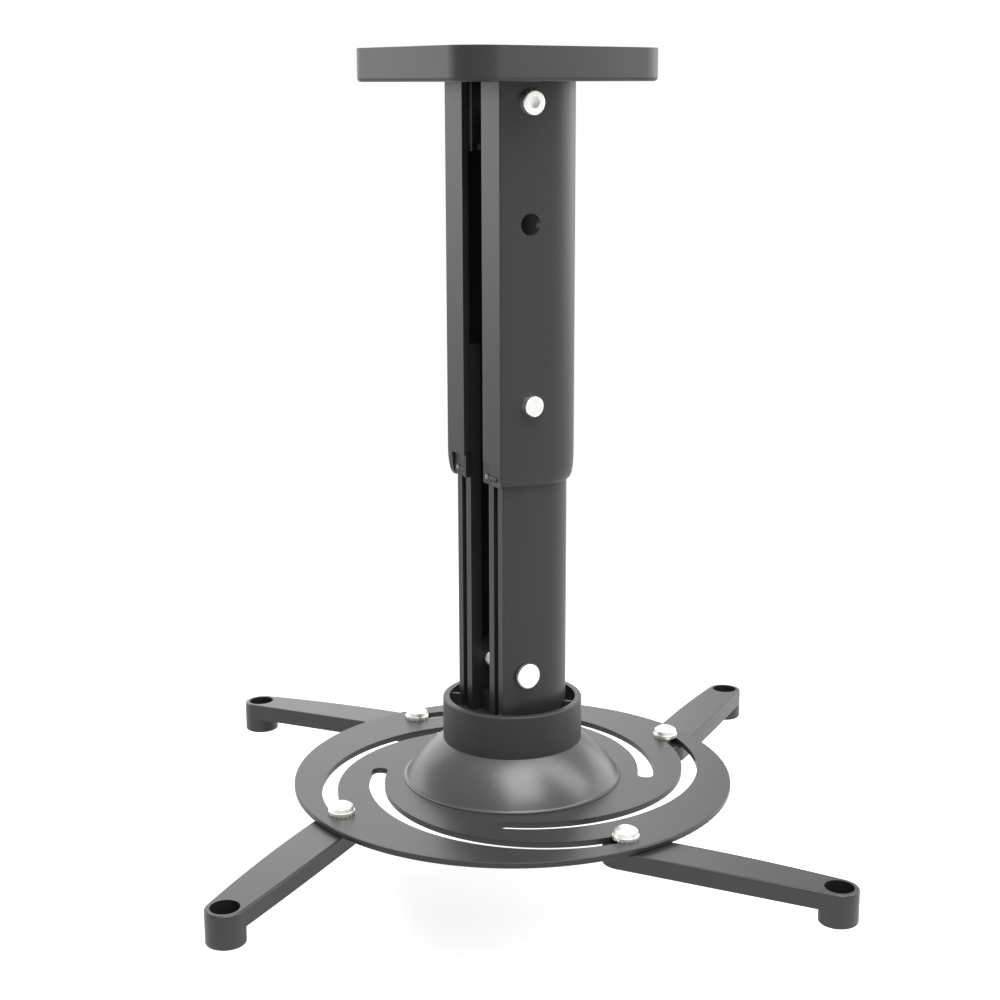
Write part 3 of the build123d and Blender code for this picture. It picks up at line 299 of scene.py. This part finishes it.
def thread(name, bolt, axis, start, end, diameter, pitch):
    """A thread ridge round a bolt's shank, from start to end along its axis, Y or Z."""
    low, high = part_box(bolt)
    middle = (Vector(low) + Vector(high)) / 2
    bpy.ops.object.select_all(action="DESELECT")
    bpy.ops.mesh.primitive_circle_add(vertices=4, radius=RIDGE_SHARE * pitch,
                                      location=(diameter / 2, 0.0, 0.0), rotation=(math.pi / 2, 0.0, 0.0))
    ridge = bpy.context.object
    ridge.name = name
    ridge.scale.x = RIDGE / (RIDGE_SHARE * pitch)
    bpy.ops.object.transform_apply(location=True, rotation=True, scale=True)
    wind = ridge.modifiers.new("wind", "SCREW")
    wind.screw_offset = pitch
    wind.iterations = int((end - start) / pitch)
    wind.steps = wind.render_steps = TURN_STEPS
    bpy.ops.object.modifier_apply(modifier=wind.name)
    bpy.ops.object.mode_set(mode="EDIT")
    bpy.ops.mesh.select_all(action="SELECT")
    bpy.ops.mesh.fill_holes(sides=4)
    bpy.ops.mesh.normals_make_consistent(inside=False)
    bpy.ops.object.mode_set(mode="OBJECT")
    if axis == "Y":
        ridge.rotation_euler.x = -math.pi / 2
        ridge.location = (middle.x, start, middle.z)
    else:
        ridge.location = (middle.x, middle.y, start)
    bpy.ops.object.transform_apply(location=True, rotation=True, scale=True)
    bpy.ops.object.shade_smooth_by_angle(angle=SHARP_ANGLE)
    ridge.data.materials.append(bright_zinc)
    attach(ridge, "inner_side" if bolt != "top_bolt" else "ceiling_side")
    print(name, round(1000 * ridge.dimensions["XYZ".index(axis)], 1), "mm long")


print("ridge", round(1000 * RIDGE, 2), "mm high")

# %% The three threads that show
M5 = 0.005
PITCH_M5 = 0.0008
M6 = 0.006
PITCH_M6 = 0.001
EAR_GAP = 0.0086                  # half the space between the collar's two ears
TOP_THREAD_FROM = -0.012          # Y where the top bolt's thread starts
CLAMP_THREAD = 0.006              # length of thread on the clamp bolt's free end

thread("foot_bolt_thread", "bottom_bolt", "Y", -EAR_GAP, EAR_GAP, M6, PITCH_M6)
thread("top_bolt_thread", "top_bolt", "Y", TOP_THREAD_FROM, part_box("top_bolt")[1][1] - PITCH_M5, M5, PITCH_M5)
clamp_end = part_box("clamp_bolt")[0][2] + PITCH_M6
thread("clamp_bolt_thread", "clamp_bolt", "Z", clamp_end, clamp_end + CLAMP_THREAD, M6, PITCH_M6)

# %% [markdown]
# ## Floor and background
# The floor is a plain pale sheet. The mount hangs a little above it, so that its plate has room to lean
# 15 degrees without dipping into the sheet. The sheet would have to be lit very brightly to look
# white. Instead, it gets a little glow that only camera rays see, and mirror images see a weaker one. The
# picture has a white ground, while the light that the floor throws back on the mount stays that of a pale
# sheet, and shadows still fall on it. Further out the sheet turns plain white, like the wall of a studio.

# %% What the picture sees
def looked_at(tree, rays):
    """1 for a ray that comes from the camera, a mirror image or glass, 0 for one that only lights."""
    direct = add(tree, "ShaderNodeMath", {0: rays.outputs["Is Camera Ray"], 1: rays.outputs["Is Glossy Ray"]},
                 operation="MAXIMUM")
    seen = add(tree, "ShaderNodeMath",
               {0: direct.outputs["Value"], 1: rays.outputs["Is Transmission Ray"]}, operation="MAXIMUM")
    return seen.outputs["Value"]


print("seen as white: camera, glossy and transmission rays")

# %% Floor
FLOOR_SIZE = 12.0
LEAN_ROOM = 0.05                  # between the feet and the floor
floor_z = cad_box[0][2] - LEAN_ROOM
NEAR_GLOW = 0.7                   # close to the mount, where its shadow falls
NEAR_SHINE = 0.3                  # the same in what the mount mirrors
SHADOW_REACH = 0.3                # metres from the axis to where the floor starts to turn plain white
WHITE_FROM = 0.9                  # metres from the axis to where it is plain white

bpy.ops.object.select_all(action="DESELECT")
bpy.ops.mesh.primitive_plane_add(size=FLOOR_SIZE, location=(0.0, 0.0, floor_z))
floor = bpy.context.object
floor.name = "floor"
paper, tree = new_material("matt white paper sweep")
rays = add(tree, "ShaderNodeLightPath")
seen = looked_at(tree, rays)
place = add(tree, "ShaderNodeNewGeometry")
away = add(tree, "ShaderNodeVectorMath", {0: place.outputs["Position"]}, operation="LENGTH")
far = add(tree, "ShaderNodeMapRange", {"Value": away.outputs["Value"]}, interpolation_type="SMOOTHSTEP",
          from_min=SHADOW_REACH, from_max=WHITE_FROM)
plain = add(tree, "ShaderNodeMath", {0: far.outputs["Result"], 1: seen}, operation="MULTIPLY")
near_shine = add(tree, "ShaderNodeMath", {0: rays.outputs["Is Glossy Ray"]}, operation="MULTIPLY")
near_shine.inputs[1].default_value = NEAR_SHINE
near_glow = add(tree, "ShaderNodeMath", {0: rays.outputs["Is Camera Ray"], 2: near_shine.outputs["Value"]},
                operation="MULTIPLY_ADD")
near_glow.inputs[1].default_value = NEAR_GLOW
glow = add(tree, "ShaderNodeEmission", {"Strength": near_glow.outputs["Value"]}, color=(1.0, 1.0, 1.0, 1.0))
sheet = add(tree, "ShaderNodeBsdfDiffuse", color=linear("#d8d8d8"))
near = add(tree, "ShaderNodeAddShader", {0: glow.outputs["Emission"], 1: sheet.outputs["BSDF"]})
white = add(tree, "ShaderNodeEmission", color=(1.0, 1.0, 1.0, 1.0))
ground = add(tree, "ShaderNodeMixShader", {0: plain.outputs["Value"], 1: near.outputs["Shader"],
                                           2: white.outputs["Emission"]})
add(tree, "ShaderNodeOutputMaterial", {"Surface": ground.outputs["Shader"]})
floor.data.materials.append(paper)
print("floor at", round(floor_z, 4), "m, plain white from", WHITE_FROM, "m out")

# %% [markdown]
# ## Room light
# A white studio lights the mount a little from all sides. What the camera and the mirror images see of the
# room is plain white, and what it adds to matt surfaces is much weaker. A Light Path node tells the two
# apart. One even white background would do for the picture but would flatten every form.

# %% World
AMBIENT = 0.3                     # what the white room adds to a matt surface
world = bpy.data.worlds.new("studio")
bpy.context.scene.world = world
world.use_nodes = True
tree = world.node_tree
tree.nodes.clear()
rays = add(tree, "ShaderNodeLightPath")
seen = looked_at(tree, rays)
level = add(tree, "ShaderNodeMapRange", {"Value": seen}, to_min=AMBIENT, to_max=1.0)
sky = add(tree, "ShaderNodeBackground", {"Strength": level.outputs["Result"]}, color=(1.0, 1.0, 1.0, 1.0))
add(tree, "ShaderNodeOutputWorld", {"Surface": sky.outputs["Background"]})
print("room light", AMBIENT, "of white")

# %% [markdown]
# ## Lamps
# A dark, satin object shows its form mostly by what it mirrors. A photographer puts it in front of a
# bright, curved backdrop and keeps the camera's side darker. Three large panels behind the mount do the
# same here: edges and level faces mirror them and light up, and the broad side that faces the camera
# stays dark. A weak soft box overhead lifts the faces that look up. Two high strips stand on the camera's
# side. The column hardly mirrors them, but the dome does: they draw the two soft patches on its slope.

# %% Soft boxes
def soft_box(name, place, aim, width, height, power):
    """An area lamp that shines from place towards aim."""
    data = bpy.data.lights.new(name, "AREA")
    data.shape = "RECTANGLE"
    data.size = width
    data.size_y = height
    data.energy = power
    lamp = bpy.data.objects.new(name, data)
    bpy.context.collection.objects.link(lamp)
    lamp.location = place
    lamp.rotation_euler = (Vector(aim) - Vector(place)).to_track_quat("-Z", "Y").to_euler()


MIDDLE = (0.0, 0.0, -0.2)         # of the mount
DOME = (0.0, 0.0, -0.3)
soft_box("overhead", (-0.1, 0.0, 1.6), MIDDLE, 1.6, 1.6, 7.0)
soft_box("panel_behind", (0.38, 1.92, 0.45), MIDDLE, 2.2, 1.6, 14.0)
soft_box("panel_left", (-1.3, 1.45, 0.02), MIDDLE, 1.8, 0.65, 8.8)
soft_box("panel_right", (1.95, 0.0, 0.12), MIDDLE, 1.9, 0.85, 9.5)
soft_box("strip_front", (-0.12, -0.53, 0.95), DOME, 0.75, 0.9, 15.0)
soft_box("strip_right", (0.78, -0.46, 0.74), DOME, 0.5, 1.1, 9.0)

# %% [markdown]
# ## View
# The Standard view shows a colour as it is written.

# %% Finish
bpy.context.scene.view_settings.view_transform = "Standard"
